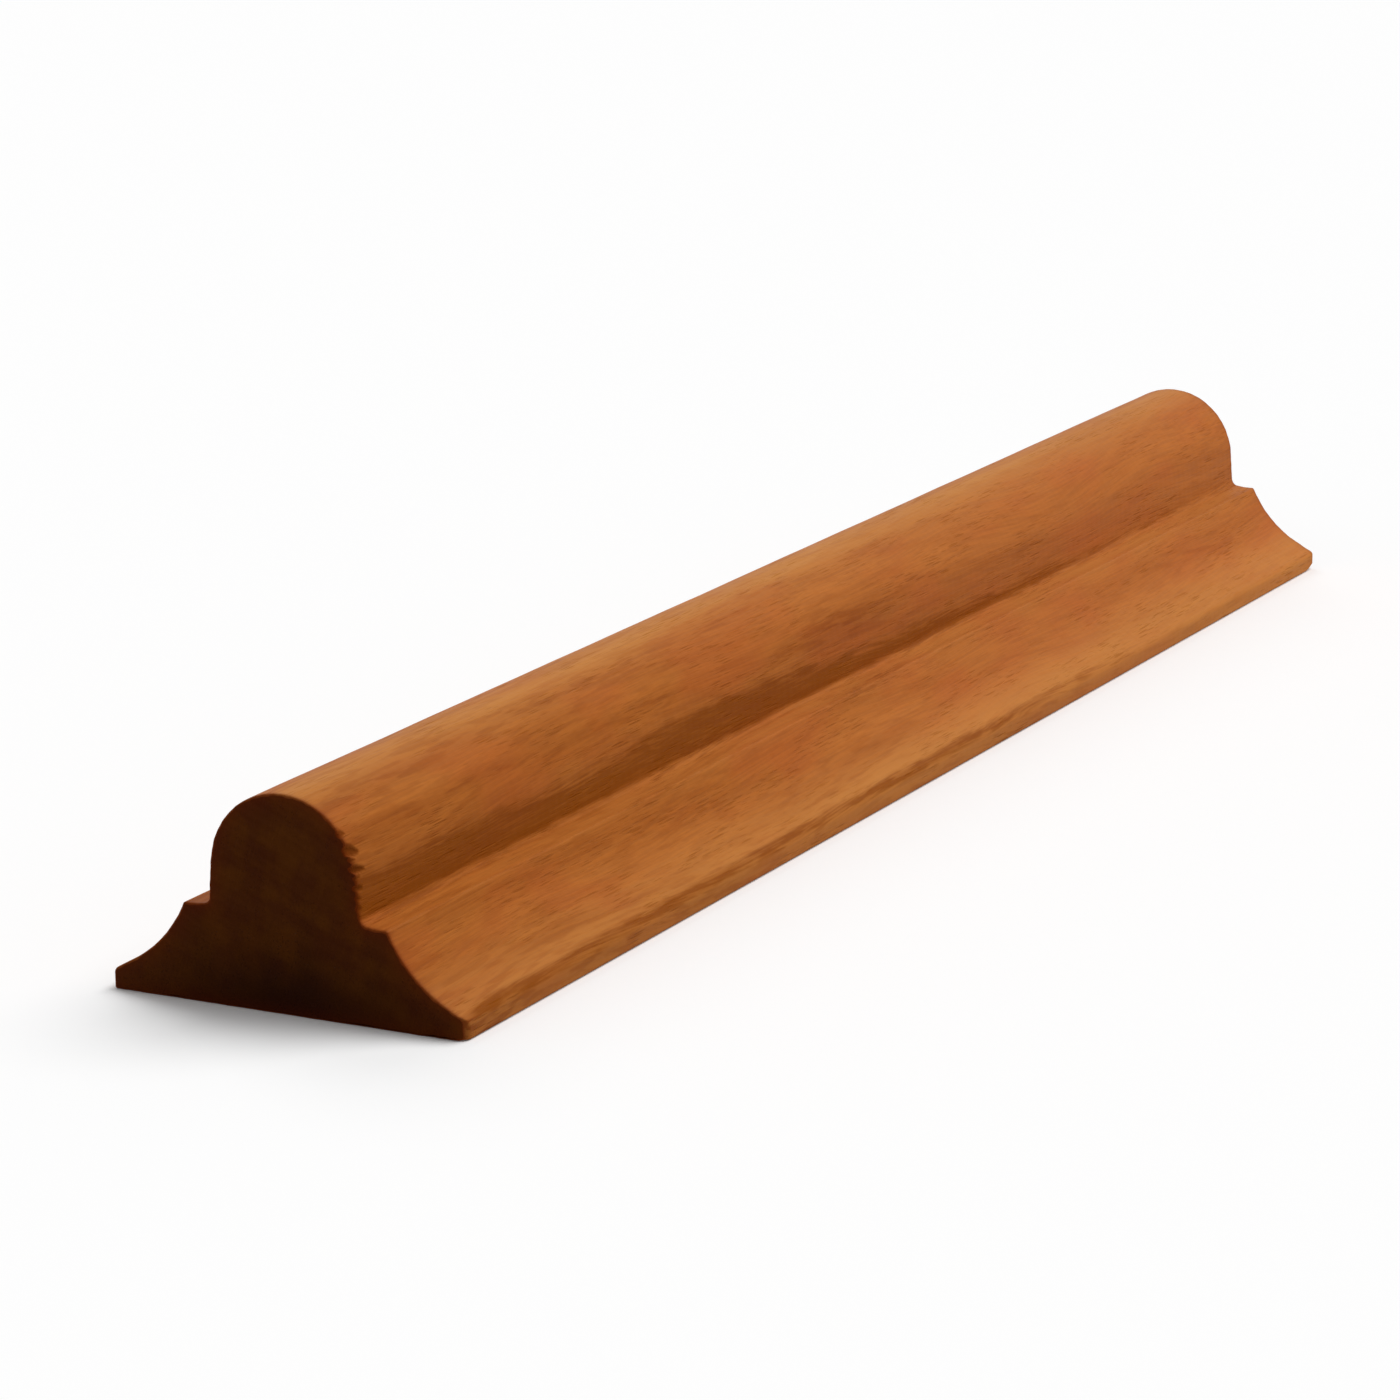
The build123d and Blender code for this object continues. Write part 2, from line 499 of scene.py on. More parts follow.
def blunt_below(points, lift, end, side):
    """Lift the back at one corner of the bar, in place, as a knock has left it.

    The lift falls off by a bell curve of the distance from the corner over twice the lift's own size, and
    evenly with height to nothing at the lift's top, so that no two points meet.
    """
    gap = np.hypot(points[:, 0] - end, points[:, 1] - side)
    left_over = np.clip(1 - points[:, 2] / LIFT_TOP, 0.0, 1.0)
    points[:, 2] += lift * bell(gap / (2 * lift)) * left_over


# Painted shade low on the sawn ends, darkest in the middle of the back
SHADE_LOW_WIDTH = 11 * MM
SHADE_LOW_HEIGHT = 5 * MM
SHADE_LOW_UNEVEN = 0.3  # of its height
SHADE_LOW_WAVES = (11 * MM, 6.3 * MM, 3.7 * MM)
SHADE_LOW_SEED = 11


def shade_low_on_ends(across, up):
    """How much painted shade darkens a sawn end low down: a bell curve about the middle of the back, of
    uneven height.
    """
    height = SHADE_LOW_HEIGHT * (1 + SHADE_LOW_UNEVEN * uneven(across, SHADE_LOW_WAVES, SHADE_LOW_SEED))
    return bell(across / SHADE_LOW_WIDTH, up / height)


RIM_FADE = 0.3 * MM  # from the sawn end, over which the soaked rim fades out along the bar
RIM_DEPTH = 0.8 * MM  # into the sawn end, over which it fades out there
ARRIS_WAVES = (9.0 * MM, 4.1 * MM, 2.3 * MM, 1.1 * MM)
HAND_WAVES = (61.0 * MM, 37.0 * MM, 23.0 * MM, 13.0 * MM)
HAND_SLANT = 0.6  # by which these waves shift along the bar for each step round the section
ARRIS_STATIONS = 5  # round each end's arris
TORN_STEP = 0.13 * MM  # between stations where the near end is torn
TORN_REACH = 3.4 * MM
END_STEP = 0.25 * MM  # between the first stations at the far end
MIDDLE_STEP = 2.4 * MM
STEP_GROWTH = 1.3


def growing_steps(first, last):
    """Distances from nought whose steps grow by a fixed ratio from the first step to the last."""
    count = math.ceil(math.log(last / first) / math.log(STEP_GROWTH))
    return np.cumsum(first * STEP_GROWTH ** np.arange(count))


def stations(length_of_bar, clear):
    """Places along the bar between its arrises: close where the near end is torn, wide in the middle."""
    near = np.arange(clear, TORN_REACH, TORN_STEP)
    near = np.concatenate([near, near[-1] + growing_steps(TORN_STEP, MIDDLE_STEP)])
    far = np.concatenate([[0.0], growing_steps(END_STEP, MIDDLE_STEP)])
    far = length_of_bar - clear - far[::-1]
    count = math.ceil((far[0] - near[-1]) / MIDDLE_STEP)
    middle = np.linspace(near[-1], far[0], count + 1)[1:-1]
    return np.concatenate([near, middle, far])


def bar_surface(size, wear, corners, side, ring):
    """The bar's long surface as a grid of points: stations along the bar by columns round the section.

    A point is the section's point, moved into the wood along its normal by the inset, at its station's
    distance from the near end. The inset adds up the round of the end arrises, the tears and the faint
    waves of sanding. Round an arris the distance is radius times one less the cosine of a turning angle,
    and the inset radius times one less its sine.
    """
    normals = outward(ring)
    along_ring = np.concatenate([[0.0], np.cumsum(np.hypot(*np.diff(ring, axis=0).T))])
    full_length = bar_high.x - bar_low.x

    radius = wear.arris * (1 + wear.arris_change * uneven(along_ring, ARRIS_WAVES, wear.seed))
    turn = np.linspace(0.0, math.pi / 2, ARRIS_STATIONS + 1)[:-1, None]
    arris_run = radius * (1 - np.cos(turn))
    arris_inset = radius * (1 - np.sin(turn))
    flat = stations(full_length, 2 * wear.arris)
    flat_run = np.repeat(flat[:, None], len(ring), axis=1)
    run = np.concatenate([arris_run, flat_run, full_length - arris_run[::-1]])
    inset = np.concatenate([arris_inset, np.zeros_like(flat_run), arris_inset[::-1]])

    depth, torn = tear_depth(run, ring[:, 0], ring[:, 1])
    wave = uneven(run + HAND_SLANT * along_ring, HAND_WAVES, wear.seed + 1)
    off_back = smooth_step(ring[:, 1] / size.edge_height)
    inset = inset + wear.tear * depth + wear.hand_wave * off_back * (1 + wave) / 2

    points = np.empty(run.shape + (3,))
    points[..., 0] = bar_low.x + run
    points[..., 1] = ring[:, 0] - inset * normals[:, 0]
    points[..., 2] = ring[:, 1] - inset * normals[:, 1]
    from_end = np.minimum(run, full_length - run)
    from_crown = along_ring - along_ring[len(side) - 1]
    marks = {
        "torn": torn,
        # painted shade with some grime in the quirk, and a darker line above the thin edge
        "shade_and_grime": quirk_shade_and_grime(run, ring, corners),
        # paler by rubbing, by painted highlight and by painted light
        "rubbed_and_highlit": rubbed_and_highlit_places(run, ring, corners),
        "streaks": dark_streaks(run, from_crown, ring[:, 1] < size.edge_height),
        "rim": np.exp(-from_end / RIM_FADE),
        # painted shade low on the sawn ends
        "shade_low_on_ends": np.broadcast_to(shade_low_on_ends(ring[:, 0], ring[:, 1]), run.shape),
    }
    return points, marks


def grid_faces(index):
    """Four-cornered faces of a grid of vertex numbers."""
    quads = np.stack([index[:-1, :-1], index[:-1, 1:], index[1:, 1:], index[1:, :-1]], axis=-1)
    return quads.reshape(-1, 4)


def strip_faces(across, lower, upper):
    """Three-cornered faces between two lines of points that both run from high Y to low Y.

    Each stretch of one line is joined to the point that the other line has reached by the stretch's middle.
    """
    lower_middle = np.maximum.accumulate(-across[lower[1:]] - across[lower[:-1]])
    upper_middle = np.maximum.accumulate(-across[upper[1:]] - across[upper[:-1]])
    beside_lower = upper[np.searchsorted(upper_middle, lower_middle)]
    beside_upper = lower[np.searchsorted(lower_middle, upper_middle, side="right")]
    on_lower = np.stack([lower[:-1], lower[1:], beside_lower], axis=1)
    on_upper = np.stack([upper[1:], upper[:-1], beside_upper], axis=1)
    return np.concatenate([on_lower, on_upper])


BESIDE_LEDGE = 0.3 * MM  # below the ledge's outer corner and above its inner one, where an end's rows stop
CAP_HEIGHT = 0.3 * MM  # under the crown, where they stop too


def end_surface(rim, side, corners):
    """The surface that closes one end, from its rim: new points inside the rim, and faces in groups.

    It has rows at like heights, whose points divide the line between the rim's two points there as the back
    is divided. Beside the ledges and under the crown there are no rows: strips of three-cornered faces join
    the rows to the rim there. The faces number the rim's points first and the new ones after them.
    """
    up = side[:, 1]
    below_ledge = int(np.argmax(up > corners["ledge"][1] - BESIDE_LEDGE))
    above_ledge = int(np.argmax(up > corners["root"][1] + BESIDE_LEDGE))
    below_crown = int(np.argmax(up > corners["crown"][1] - CAP_HEIGHT))
    rows = np.concatenate([np.arange(below_ledge + 1), np.arange(above_ledge, below_crown + 1)])
    last_left = 2 * len(side) - 2
    right = rim[rows[1:]]
    left = rim[last_left - rows[1:]]
    inner = (right[:, None] + across_share()[None, 1:-1, None] * (left - right)[:, None]).reshape(-1, 3)

    numbers = np.empty((len(rows), BACK_COLUMNS + 1), int)
    numbers[:, 0] = rows
    numbers[:, -1] = last_left - rows
    numbers[0, 1:-1] = len(rim) - np.arange(1, BACK_COLUMNS)
    numbers[1:, 1:-1] = len(rim) + np.arange(len(inner)).reshape(len(rows) - 1, -1)
    lower, upper = np.split(numbers, [below_ledge + 1])
    on_ledge = np.arange(below_ledge + 1, above_ledge)
    beside_ledges = np.concatenate([on_ledge, upper[0], last_left - on_ledge[::-1]])
    over_crown = np.arange(below_crown + 1, last_left - below_crown)
    across = np.concatenate([rim, inner])[:, 1]
    return inner, [
        grid_faces(lower),
        grid_faces(upper),
        strip_faces(across, lower[-1], beside_ledges),
        strip_faces(across, upper[-1], over_crown),
    ]


def bar_mesh(size, wear):
    """The closed bar as a mesh, with its marks of wear, painted shade and painted highlight as attributes
    of its points.
    """
    corners = section_corners(size, bar_high.y)
    side = right_side(size, corners)
    ring = closed_ring(side)
    surface, marks = bar_surface(size, wear, corners, side, ring)
    numbers = np.arange(surface.shape[0] * surface.shape[1]).reshape(surface.shape[:2])
    long_faces = grid_faces(np.concatenate([numbers, numbers[:, :1]], axis=1))
    points = surface.reshape(-1, 3)
    faces = long_faces.tolist()
    for rim, rim_numbers, way in ((surface[0], numbers[0], 1), (surface[-1], numbers[-1], -1)):
        inner, groups = end_surface(rim, side, corners)
        end_numbers = np.concatenate([rim_numbers, len(points) + np.arange(len(inner))])
        points = np.concatenate([points, inner])
        for group in groups:
            faces.extend(end_numbers[group[:, ::way]].tolist())
    inner_points = points[numbers.size:, 1:].copy()

    knock_corner(points, wear.bruised_corner, bar_low.x, bar_low.y)
    for end, edge in ((bar_low.x, bar_high.y), (bar_high.x, bar_low.y), (bar_high.x, bar_high.y)):
        knock_corner(points, wear.corner, end, edge)
    blunt_below(points, wear.near_lift, bar_low.x, bar_low.y)
    blunt_below(points, wear.far_lift, bar_high.x, bar_low.y)
    mesh = bpy.data.meshes.new("astragal_bar")
    mesh.from_pydata(points, [], faces)
    material_of_face = np.ones(len(faces), np.int32)
    material_of_face[: len(long_faces)] = 0
    mesh.polygons.foreach_set("material_index", material_of_face)
    mesh.polygons.foreach_set("use_smooth", np.ones(len(faces), bool))

    to_outline = np.hypot(*(inner_points[:, None] - ring[None]).transpose(2, 0, 1)).min(axis=1)
    # the rim, and the painted shade low on the sawn ends
    marks_on_ends = {"rim": np.exp(-to_outline / RIM_DEPTH), "shade_low_on_ends": shade_low_on_ends(*inner_points.T)}
    for name, values in marks.items():
        on_ends = marks_on_ends.get(name, np.zeros(len(inner_points)))
        attribute = mesh.attributes.new(name, "FLOAT", "POINT")
        attribute.data.foreach_set("value", np.concatenate([values.ravel(), on_ends]).astype(np.float32))
    mesh.update()
    return mesh


# Nodes

def node(tree, kind, inputs=None, **settings):
    """A new node with its settings, whose inputs are given as values or as sockets to link from."""
    made = tree.nodes.new(kind)
    for name, value in settings.items():
        setattr(made, name, value)
    for socket, value in (inputs or {}).items():
        if isinstance(value, bpy.types.NodeSocket):
            tree.links.new(value, made.inputs[socket])
        else:
            made.inputs[socket].default_value = value
    return made


def maths(tree, operation, *values):
    """The result of a Math node on one, two or three values."""
    return node(tree, "ShaderNodeMath", dict(enumerate(values)), operation=operation).outputs[0]


def vector_maths(tree, operation, first, second):
    """The result of a Vector Math node."""
    return node(tree, "ShaderNodeVectorMath", {0: first, 1: second}, operation=operation).outputs[0]


def spread(tree, value, low, high, to_low=0.0, to_high=1.0):
    """A value between low and high spread smoothly over the range from to_low to to_high."""
    inputs = {"Value": value, "From Min": low, "From Max": high, "To Min": to_low, "To Max": to_high}
    return node(tree, "ShaderNodeMapRange", inputs, interpolation_type="SMOOTHSTEP").outputs[0]


def mix_colours(tree, factor, first, second, blend="MIX"):
    """Two linear triples or colour sockets mixed by a factor, by a Mix node's sockets for colours."""
    pair = [each if isinstance(each, bpy.types.NodeSocket) else (*each, 1.0) for each in (first, second)]
    inputs = {0: factor, 6: pair[0], 7: pair[1]}
    return node(tree, "ShaderNodeMix", inputs, data_type="RGBA", blend_type=blend).outputs[2]


def covered(tree, shade, *layers):
    """A colour under layers, each a mask and the colour that shows where the mask is one."""
    for mask, over in layers:
        shade = mix_colours(tree, mask, shade, over)
    return shade


def times(tree, value, factor):
    """A value times a factor."""
    return maths(tree, "MULTIPLY", value, factor)


def weighed(tree, start, *terms):
    """A value plus each (value, weight) of the terms, multiplied."""
    for value, weight in terms:
        start = maths(tree, "MULTIPLY_ADD", value, weight, start)
    return start


def off_axis(tree, place, centre):
    """Distance from a line along the bar through the centre."""
    across = vector_maths(tree, "SUBTRACT", place, centre)
    across = vector_maths(tree, "MULTIPLY", across, (0.0, 1.0, 1.0))
    return node(tree, "ShaderNodeVectorMath", {0: across}, operation="LENGTH").outputs["Value"]


def waves_of(tree, value, wavelength):
    """A sine of a value that repeats every wavelength."""
    return maths(tree, "SINE", times(tree, value, 2 * math.pi / wavelength))


def grain_noise(tree, vector, along, across, detail=2.0):
    """Noise whose spots are so long along the grain and so wide across it, both in millimetres."""
    scale = (1 / (along * MM), 1 / (across * MM), 1 / (across * MM))
    stretched = vector_maths(tree, "MULTIPLY", vector, scale)
    inputs = {"Vector": stretched, "Scale": 1.0, "Detail": detail}
    return node(tree, "ShaderNodeTexNoise", inputs).outputs["Fac"]


def new_group(name, inputs, outputs):
    """An empty shader group. Inputs are (name, kind, default), and outputs are names of values."""
    tree = bpy.data.node_groups.new(name, "ShaderNodeTree")
    for socket_name, kind, default in inputs:
        socket = tree.interface.new_socket(name=socket_name, in_out="INPUT", socket_type=kind)
        if default is not None:
            socket.default_value = default
    for socket_name in outputs:
        tree.interface.new_socket(name=socket_name, in_out="OUTPUT", socket_type="NodeSocketFloat")
    return tree, tree.nodes.new("NodeGroupInput").outputs, tree.nodes.new("NodeGroupOutput").inputs


def use_group(tree, group, inputs):
    """The outputs of a group placed in a material."""
    return node(tree, "ShaderNodeGroup", inputs, node_tree=group).outputs


# Grains of the figure: length and width of the spots in millimetres, detail of the noise, and the part of
# it that is spread from nought to one
GRAINS = {
    "Ribbons": (120.0, 5.5, 2.0, 0.34, 0.66),
    "Streaks": (34.0, 1.7, 2.0, 0.30, 0.70),
    "Flecks": (6.0, 0.7, 2.0, 0.36, 0.56),
    "Fibres": (9.0, 0.22, 3.0, 0.25, 0.75),
    "Patches": (17.0, 6.5, 2.0, 0.42, 0.66),
}
SWAY_ALONG = 48 * MM  # length and width of the spots in which the grain sways, and by how much
SWAY_ACROSS = 21 * MM
SWAY = 5.0 * MM
RING_BEND = 6.0 * MM


def timber_figure_group():
    """The timber's figure through the whole bar, in object coordinates.

    Rings are a sine of the distance from the tree's heart, bent by slow noise. The grains are noise,
    stretched along the bar by their table, and all of it sways a little.
    """
    tree, given, result = new_group(
        "Timber figure",
        [
            ("Vector", "NodeSocketVector", None),
            ("Heart", "NodeSocketVector", (0.0, 0.030, -0.085)),
            ("Ring Width", "NodeSocketFloat", 2.7 * MM),
        ],
        ["Rings", *GRAINS],
    )
    sway_scale = (1 / SWAY_ALONG, 1 / SWAY_ACROSS, 1 / SWAY_ACROSS)
    slow = vector_maths(tree, "MULTIPLY", given["Vector"], sway_scale)
    sway = node(tree, "ShaderNodeTexNoise", {"Vector": slow, "Scale": 1.0, "Detail": 1.0}).outputs["Color"]
    sway = vector_maths(tree, "SUBTRACT", sway, (0.5, 0.5, 0.5))
    sway = vector_maths(tree, "MULTIPLY", sway, (0.0, SWAY, SWAY))
    place = vector_maths(tree, "ADD", given["Vector"], sway)
    bend = (grain_noise(tree, place, 90.0, 16.0), RING_BEND)
    bent = weighed(tree, off_axis(tree, place, given["Heart"]), bend)
    wave = waves_of(tree, maths(tree, "DIVIDE", bent, given["Ring Width"]), 1.0)
    tree.links.new(maths(tree, "MULTIPLY_ADD", wave, 0.5, 0.5), result["Rings"])
    for name, (along, across, detail, low, high) in GRAINS.items():
        grain = grain_noise(tree, place, along, across, detail)
        tree.links.new(spread(tree, grain, low, high), result[name])
    return tree


def pore_group():
    """Open pores: long thin cells of a Voronoi pattern that keeps only what lies near a cell's point."""
    tree, given, result = new_group(
        "Open pores",
        [
            ("Vector", "NodeSocketVector", None),
            ("Length", "NodeSocketFloat", 5.0 * MM),
            ("Spacing", "NodeSocketFloat", 0.32 * MM),
            ("Width", "NodeSocketFloat", 0.34),
        ],
        ["Pores"],
    )
    sides = {0: given["Length"], 1: given["Spacing"], 2: given["Spacing"]}
    cell = node(tree, "ShaderNodeCombineXYZ", sides).outputs[0]
    cells = vector_maths(tree, "DIVIDE", given["Vector"], cell)
    gap = node(tree, "ShaderNodeTexVoronoi", {"Vector": cells, "Scale": 1.0}).outputs["Distance"]
    dots = spread(tree, gap, times(tree, given["Width"], 0.5), given["Width"], 1.0, 0.0)
    crowding = spread(tree, grain_noise(tree, given["Vector"], 12.0, 2.6), 0.40, 0.62)
    tree.links.new(times(tree, dots, crowding), result["Pores"])
    return tree


def attribute_value(tree, name):
    """The value that the mesh carries under that name."""
    return node(tree, "ShaderNodeAttribute", attribute_name=name).outputs["Fac"]


def new_material(name):
    """A material with an empty node tree but for its output."""
    material = bpy.data.materials.new(name)
    material.use_nodes = True
    material.node_tree.nodes.clear()
    output = material.node_tree.nodes.new("ShaderNodeOutputMaterial")
    return material, material.node_tree, output


def wood_shader(tree, output, shade, rough, relief, finish):
    """A Principled shader with a bump from a relief, joined to the material's output."""
    heights = {"Height": relief, "Strength": finish.bump, "Distance": finish.depth}
    normal = node(tree, "ShaderNodeBump", heights).outputs[0]
    inputs = {"Base Color": shade, "Roughness": rough, "Normal": normal, "Specular IOR Level": finish.gloss}
    shader = node(tree, "ShaderNodeBsdfPrincipled", inputs)
    tree.links.new(shader.outputs[0], output.inputs["Surface"])


Finish = namedtuple("Finish", "gloss bump depth")

PLANED = Finish(0.03, 0.7, 0.05 * MM)
PLANED_TONE = {"Ribbons": 0.36, "Rings": 0.18, "Streaks": 0.22, "Flecks": 0.24}
PLANED_ROUGHNESS = 0.46
RIPPLE = 1.4 * MM  # between the marks that the cutter's knives left along the bar
FINE_PORE_SIZES = {"Length": 2.6 * MM, "Spacing": 0.21 * MM, "Width": 0.36}
FINE_PORES = 0.6  # beside the coarse ones
SHADE_AND_GRIME_STREAKS = 0.35  # of the streaks' colour in the painted shade and grime of the quirk
# Strength of the layers of the planed faces where their masks are one
PATCHES = 0.45
PLANED_PORES = 0.22
TORN = 0.85
PLANED_RIM = 0.8
# Spreads of masks and places: from which value to which, and what these two become
CALMER_ALONG = (-30 * MM, 60 * MM, 1.0, 0.55)  # the tone's liveliness along the bar
BLUER_ALONG = (-70 * MM, 50 * MM, 0.84, 1.06)  # the blue of the fibres along the bar
FIBRE_SHADE = (0.0, 1.0, 0.92, 1.06)
RUBBED_AND_HIGHLIT_BY_TONE = (0.1, 0.9, 0.4, 1.0)
STREAKED_BY_FLECKS = (0.0, 1.0, 1.35, 0.65)
SHADE_AND_GRIME_BY_HAIRS = (0.1, 0.9, 1.3, 0.7)
SHADE_AND_GRIME_EDGE = (0.1, 0.95, 0.0, 0.88)


def planed_material(colours, figure_group, pores_group):
    """Planed and oiled long grain, satin, with pores, painted shade and some grime in the quirk, arrises
    made paler by rubbing and painted highlight, and torn ends.
    """
    material, tree, output = new_material("planed_long_grain")
    place = node(tree, "ShaderNodeTexCoord").outputs["Object"]
    along = node(tree, "ShaderNodeSeparateXYZ", {0: place}).outputs[0]
    figure = use_group(tree, figure_group, {"Vector": place})
    fibres = figure["Fibres"]
    coarse = use_group(tree, pores_group, {"Vector": place})["Pores"]
    fine = use_group(tree, pores_group, {"Vector": place, **FINE_PORE_SIZES})["Pores"]
    pores = maths(tree, "MAXIMUM", coarse, times(tree, fine, FINE_PORES))
    torn = attribute_value(tree, "torn")
    rim = attribute_value(tree, "rim")

    tone = weighed(tree, 0.0, *((figure[mask], weight) for mask, weight in PLANED_TONE.items()))
    liveliness = spread(tree, along, *CALMER_ALONG)
    tone = maths(tree, "MULTIPLY_ADD", maths(tree, "SUBTRACT", tone, 0.5), liveliness, 0.5)
    shade = mix_colours(tree, tone, colours.deep, colours.pale)
    shade = mix_colours(tree, times(tree, figure["Patches"], PATCHES), shade, colours.red)
    fibre_shade = spread(tree, fibres, *FIBRE_SHADE)
    fibre_blue = times(tree, fibre_shade, spread(tree, along, *BLUER_ALONG))
    channels = {0: fibre_shade, 1: fibre_shade, 2: fibre_blue}
    fibre_colour = node(tree, "ShaderNodeCombineColor", channels).outputs[0]
    shade = mix_colours(tree, 1.0, shade, fibre_colour, "MULTIPLY")
    # Paler by rubbing, painted highlight on crown, skirt and ledge, and painted light on thin edge and
    # ledge towards the far end
    paler = times(tree, attribute_value(tree, "rubbed_and_highlit"), spread(tree, tone, *RUBBED_AND_HIGHLIT_BY_TONE))
    streaky = spread(tree, figure["Flecks"], *STREAKED_BY_FLECKS)
    hairs = weighed(tree, 0.0, (figure["Flecks"], 0.35), (fibres, 0.65))
    # Painted shade in the quirk under the bead, with some grime, and a darker line above the thin edge
    shade_and_grime_mask = times(tree, attribute_value(tree, "shade_and_grime"), spread(tree, hairs, *SHADE_AND_GRIME_BY_HAIRS))
    shade_and_grime = mix_colours(tree, times(tree, figure["Streaks"], SHADE_AND_GRIME_STREAKS), colours.shade_and_grime, colours.streak)
    shade = covered(
        tree,
        shade,
        # rubbing, painted highlight and painted light
        (paler, colours.rubbed_and_highlit),
        (times(tree, attribute_value(tree, "streaks"), streaky), colours.streak),
        (times(tree, pores, PLANED_PORES), colours.pore),
        # painted shade and grime in the quirk
        (spread(tree, shade_and_grime_mask, *SHADE_AND_GRIME_EDGE), shade_and_grime),
        (times(tree, torn, TORN), colours.torn),
        (times(tree, rim, PLANED_RIM), colours.end_rim),
    )

    rough = weighed(tree, PLANED_ROUGHNESS, (pores, 0.2), (torn, 0.3), (fibres, 0.12))
    knife_marks = waves_of(tree, along, RIPPLE)
    relief = weighed(tree, 0.0, (fibres, 0.35), (pores, -1.0), (knife_marks, 0.06))
    wood_shader(tree, output, shade, rough, relief, PLANED)
    return material


SAWN = Finish(0.06, 0.8, 0.06 * MM)
SAWN_ROUGHNESS = 0.78
SAWN_PORE_SIZES = {"Spacing": 0.34 * MM, "Width": 0.34}
RAY_SIZES = (20 * MM, 0.16 * MM, 3.0 * MM)  # of a ray: along the bar, across the ray and along it
RAY_LEAN = -17.0  # degrees from upright
SAW_CENTRE = (0.0, 0.060, -0.120)
SAW_STEP = 0.85 * MM  # between the arcs that its teeth left
SAW_BEND = 0.9 * MM
# Strength of the layers of the sawn ends where their masks are one
SAWN_PORES = 0.5
SHADE_LOW = 0.85
SAWN_RIM = 0.5


def sawn_material(colours, figure_group, pores_group):
    """Sawn end grain, darker and matt: rings, pores cut across, fine rays, the saw's arcs and painted shade
    low down.
    """
    material, tree, output = new_material("sawn_end_grain")
    place = node(tree, "ShaderNodeTexCoord").outputs["Object"]
    figure = use_group(tree, figure_group, {"Vector": place})
    pores = use_group(tree, pores_group, {"Vector": place, **SAWN_PORE_SIZES})["Pores"]
    lean = {"Vector": place, "Rotation": (math.radians(RAY_LEAN), 0.0, 0.0)}
    turned = node(tree, "ShaderNodeMapping", lean).outputs[0]
    ray_cells = vector_maths(tree, "MULTIPLY", turned, [1 / size for size in RAY_SIZES])
    rays = node(tree, "ShaderNodeTexNoise", {"Vector": ray_cells, "Scale": 1.0, "Detail": 2.0})
    rays = spread(tree, rays.outputs["Fac"], 0.5, 0.72)
    blotches = spread(tree, grain_noise(tree, place, 30.0, 2.4, 3.0), 0.36, 0.64)

    bands = ((figure["Rings"], 0.16), (figure["Ribbons"], 0.24), (blotches, 0.46), (rays, 0.14))
    shade = covered(
        tree,
        mix_colours(tree, weighed(tree, 0.0, *bands), colours.end_deep, colours.end_pale),
        (times(tree, pores, SAWN_PORES), colours.end_deep),
        # painted shade, low in the middle of each sawn end
        (times(tree, attribute_value(tree, "shade_low_on_ends"), SHADE_LOW), colours.end_shade_low),
        (times(tree, attribute_value(tree, "rim"), SAWN_RIM), colours.end_rim),
    )

    bend = (grain_noise(tree, place, 9.0, 4.0), SAW_BEND)
    saw_marks = waves_of(tree, weighed(tree, off_axis(tree, place, SAW_CENTRE), bend), SAW_STEP)
    relief = weighed(tree, 0.0, (saw_marks, 0.3), (pores, -1.0), (rays, 0.3))
    wood_shader(tree, output, shade, weighed(tree, SAWN_ROUGHNESS, (blotches, 0.1)), relief, SAWN)
    return material


# Stage

WHITE = (1.0, 1.0, 1.0, 1.0)


def seen_or_mirrored(tree):
    """One for rays from the camera, off gloss or through glass, and nought for scattered light."""
    path = node(tree, "ShaderNodeLightPath").outputs
    either = maths(tree, "MAXIMUM", path["Is Camera Ray"], path["Is Glossy Ray"])
    return maths(tree, "MAXIMUM", either, path["Is Transmission Ray"])


def floor_material(stage):
    """A pale matt floor, lifted to white where it is seen, that throws less light back on the bar."""
    material, tree, output = new_material("pale_floor")
    thrown_back = (stage.floor_bounce, stage.floor_bounce, stage.floor_bounce, 1.0)
    dull = node(tree, "ShaderNodeBsdfDiffuse", {"Color": thrown_back})
    pale = node(tree, "ShaderNodeBsdfDiffuse", {"Color": (*stage.floor, 1.0)})
    lift = node(tree, "ShaderNodeEmission", {"Color": WHITE, "Strength": stage.floor_lift})
    lifted = node(tree, "ShaderNodeAddShader", {0: pale.outputs[0], 1: lift.outputs[0]})
    either = {0: seen_or_mirrored(tree), 1: dull.outputs[0], 2: lifted.outputs[0]}
    mixed = node(tree, "ShaderNodeMixShader", either)
    tree.links.new(mixed.outputs[0], output.inputs["Surface"])
    return material


def make_world(stage):
    """A room that is white where it is seen and dim where it only lights the bar."""
    world = bpy.data.worlds.new("pale_room")
    world.use_nodes = True
    tree = world.node_tree
    tree.nodes.clear()
    strength = spread(tree, seen_or_mirrored(tree), 0.0, 1.0, stage.room_light, 1.0)
    background = node(tree, "ShaderNodeBackground", {"Color": WHITE, "Strength": strength})
    output = node(tree, "ShaderNodeOutputWorld")
    tree.links.new(background.outputs[0], output.inputs["Surface"])
    return world


FLOOR_GAP = 0.02 * MM  # between the bar's back and the floor
FLOOR_SIDES = 96
KEY_FROM = (0.40, -0.32, 0.86)  # way to the lamp above
RIM_FROM = (0.50, 0.60, 0.62)  # way to the lamp behind
KEY_SOFTNESS = 50.0  # degrees that the lamp above spans
RIM_SOFTNESS = 30.0
PANEL_PLACE = (0.30, -0.24, 0.05)  # of the soft panel beside the far end
PANEL_AIM = (0.09, 0.0, 0.005)
PANEL_SIZE = 0.16
NEAREST_SEEN = 0.01  # from the camera


def add_object(name, data):
    """A new object with that data, in the scene."""
    made = bpy.data.objects.new(name, data)
    bpy.context.scene.collection.objects.link(made)
    return made


